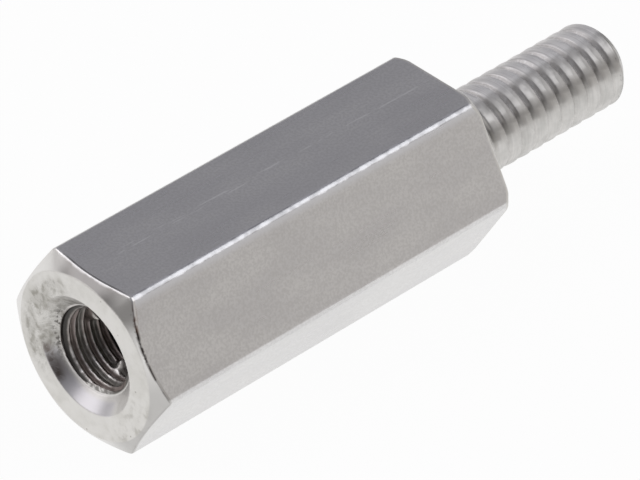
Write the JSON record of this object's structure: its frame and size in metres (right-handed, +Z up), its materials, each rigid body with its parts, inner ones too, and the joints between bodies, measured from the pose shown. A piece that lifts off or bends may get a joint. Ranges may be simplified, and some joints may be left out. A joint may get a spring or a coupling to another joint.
{
  "type": "hex standoff",
  "caption": "Male-female hexagon standoff: a plated hexagon pillar with a countersunk blind tapped hole in one end and a threaded stud on the other, for spacing boards.",
  "frame": {"origin": "on the surface that the standoff lies on, below the middle of its overall length", "axes": "+X along the axis towards the stud's tip, +Z up, with one flat of the hexagon down at Z = 0"},
  "size_m": [0.015, 0.0046, 0.004],
  "materials": {
    "plated_steel": "bright plated, drawn flats and turned ends"
  },
  "bodies": {
    "root": {"hex_standoff": "plated_steel"}
  },
  "joints": []
}
